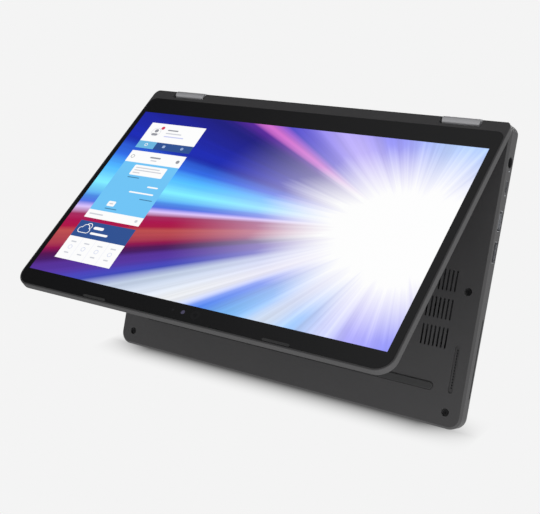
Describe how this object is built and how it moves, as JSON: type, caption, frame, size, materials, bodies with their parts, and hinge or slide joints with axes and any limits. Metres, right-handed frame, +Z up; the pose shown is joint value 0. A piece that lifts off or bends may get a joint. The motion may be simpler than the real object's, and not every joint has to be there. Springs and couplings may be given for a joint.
{
  "type": "convertible laptop computer",
  "caption": "Convertible laptop with a twin-axis hinge, standing as a tent with its display outwards and its keyboard facing away.",
  "frame": {"origin": "middle of the footprint on the ground, with both free edges standing at z = 0", "axes": "+X along the width, +Z up, the display leg stands towards -Y and the keyboard leg towards +Y"},
  "size_m": [0.306, 0.1434, 0.2001],
  "materials": {
    "body_black": "fine matt, soft-touch magnesium look",
    "body_grey": "fine textured satin paint",
    "hinge_silver": "satin anodised",
    "screen_glass": "anti-glare, semi-matt black border",
    "screen_panel": "lit panel",
    "keys_black": "fine matt",
    "rubber_black": "matt rubber",
    "steel": "bright, fine brushed",
    "screw_black": "black oxide",
    "copper": "bare copper",
    "aluminium_raw": "raw sheet",
    "board_green": "solder resist",
    "battery_grey": "foil film",
    "light_lens": "clear lens"
  },
  "bodies": {
    "base": {"bottom_cover": "body_grey", "top_case": "body_grey", "function_keys": "keys_black", "number_keys": "keys_black", "letter_keys": "keys_black", "bottom_row_keys": "keys_black", "keyboard_plate": "body_black", "touchpad_frame": "steel", "dc_in_jack": "body_black", "usb_c_port": "steel", "usb_a_ports": "steel", "display_out_port": "steel", "smart_card_reader": "body_black", "memory_card_reader": "steel", "audio_jack": "body_black", "lock_plate": "steel", "status_lights": "light_lens", "rubber_feet": "rubber_black", "base_screws": "screw_black", "fan_housing": "body_black", "heat_sink_fins": "copper", "heat_pipe": "copper", "mainboard": "board_green", "solid_state_drive": "board_green", "wireless_card": "board_green", "battery": "battery_grey", "speakers": "body_black", "base_hinge_brackets": "steel", "base_hinge_shafts": "steel", "base_hinge_gears": "steel"},
    "hinge_link": {"hinge_cover_left": "hinge_silver", "hinge_cover_right": "hinge_silver", "hinge_gear_plates": "steel", "hinge_torque_clips": "steel"},
    "lid": {"lid_back_cover": "body_grey", "hinge_strip": "body_grey", "cover_glass": "screen_glass", "lid_bumpers": "rubber_black", "lcd_panel": "screen_panel", "panel_driver_board": "board_green", "webcam_module": "board_green", "camera_light": "light_lens", "antennas": "copper", "display_cable": "board_green", "lid_hinge_brackets": "steel", "lid_bracket_screws": "steel", "lid_hinge_shafts": "steel", "lid_hinge_gears": "steel"},
    "idler_lid_side": {"idler_gears_lid_side": "steel"},
    "idler_base_side": {"idler_gears_base_side": "steel"},
    "fan": {"fan_rotor": "body_black"},
    "touchpad_plate": {"touchpad": "body_black"},
    "volume": {"volume_rocker": "body_black"},
    "power": {"power_button": "body_black"},
    "backspace_cap": {"backspace_key": "keys_black"},
    "tab_cap": {"tab_key": "keys_black"},
    "enter_cap": {"enter_key": "keys_black"},
    "left_shift_cap": {"left_shift_key": "keys_black"},
    "right_shift_cap": {"right_shift_key": "keys_black"},
    "space_bar_cap": {"space_bar": "keys_black"}
  },
  "joints": [
    {"name": "hinge_base_to_link", "type": "hinge", "parent": "base", "child": "hinge_link", "pos_m": [0, 0.00328, 0.19409], "axis": [1, 0, 0], "range_deg": [-161.4, 18.2]},
    {"name": "hinge_link_to_lid", "type": "hinge", "parent": "hinge_link", "child": "lid", "pos_m": [0, -0.00642, 0.19404], "axis": [1, 0, 0], "range_deg": [-161.4, 18.2]},
    {"name": "idler_base_side_turn", "type": "hinge", "parent": "hinge_link", "child": "idler_base_side", "pos_m": [0, 0.00005, 0.19407], "axis": [1, 0, 0], "range_deg": [-161.4, 18.2]},
    {"name": "idler_lid_side_turn", "type": "hinge", "parent": "hinge_link", "child": "idler_lid_side", "pos_m": [0, -0.00318, 0.19406], "axis": [1, 0, 0], "range_deg": [-18.2, 161.4]},
    {"name": "fan_spin", "type": "hinge", "parent": "base", "child": "fan", "pos_m": [0.112, 0.03924, 0.08064], "axis": [0, 0.9481, 0.3181], "continuous": true},
    {"name": "touchpad_click", "type": "hinge", "parent": "base", "child": "touchpad_plate", "pos_m": [0, 0.05159, 0.05985], "axis": [1, 0, 0], "range_deg": [-0.6, 0], "stiffness_Nm_per_rad": 4},
    {"name": "volume_rock", "type": "hinge", "parent": "base", "child": "volume", "pos_m": [-0.1492, 0.04387, 0.07691], "axis": [0, 0.9481, 0.3181], "range_deg": [-1.5, 1.5], "stiffness_Nm_per_rad": 0.25},
    {"name": "power_press", "type": "slide", "parent": "base", "child": "power", "axis": [1, 0, 0], "range_m": [0, 0.0003], "stiffness_N_per_m": 900},
    {"name": "backspace_press", "type": "slide", "parent": "base", "child": "backspace_cap", "axis": [0, -0.9511, -0.3088], "range_m": [0, 0.0012], "stiffness_N_per_m": 300},
    {"name": "tab_press", "type": "slide", "parent": "base", "child": "tab_cap", "axis": [0, -0.9511, -0.3088], "range_m": [0, 0.0012], "stiffness_N_per_m": 300},
    {"name": "enter_press", "type": "slide", "parent": "base", "child": "enter_cap", "axis": [0, -0.9511, -0.3088], "range_m": [0, 0.0012], "stiffness_N_per_m": 300},
    {"name": "left_shift_press", "type": "slide", "parent": "base", "child": "left_shift_cap", "axis": [0, -0.9511, -0.3088], "range_m": [0, 0.0012], "stiffness_N_per_m": 300},
    {"name": "right_shift_press", "type": "slide", "parent": "base", "child": "right_shift_cap", "axis": [0, -0.9511, -0.3088], "range_m": [0, 0.0012], "stiffness_N_per_m": 300},
    {"name": "space_bar_press", "type": "slide", "parent": "base", "child": "space_bar_cap", "axis": [0, -0.9511, -0.3088], "range_m": [0, 0.0012], "stiffness_N_per_m": 300}
  ],
  "couplings": [
    {"joint": "hinge_link_to_lid", "follows": "hinge_base_to_link", "ratio": 1},
    {"joint": "idler_base_side_turn", "follows": "hinge_base_to_link", "ratio": 1},
    {"joint": "idler_lid_side_turn", "follows": "hinge_base_to_link", "ratio": -1}
  ]
}
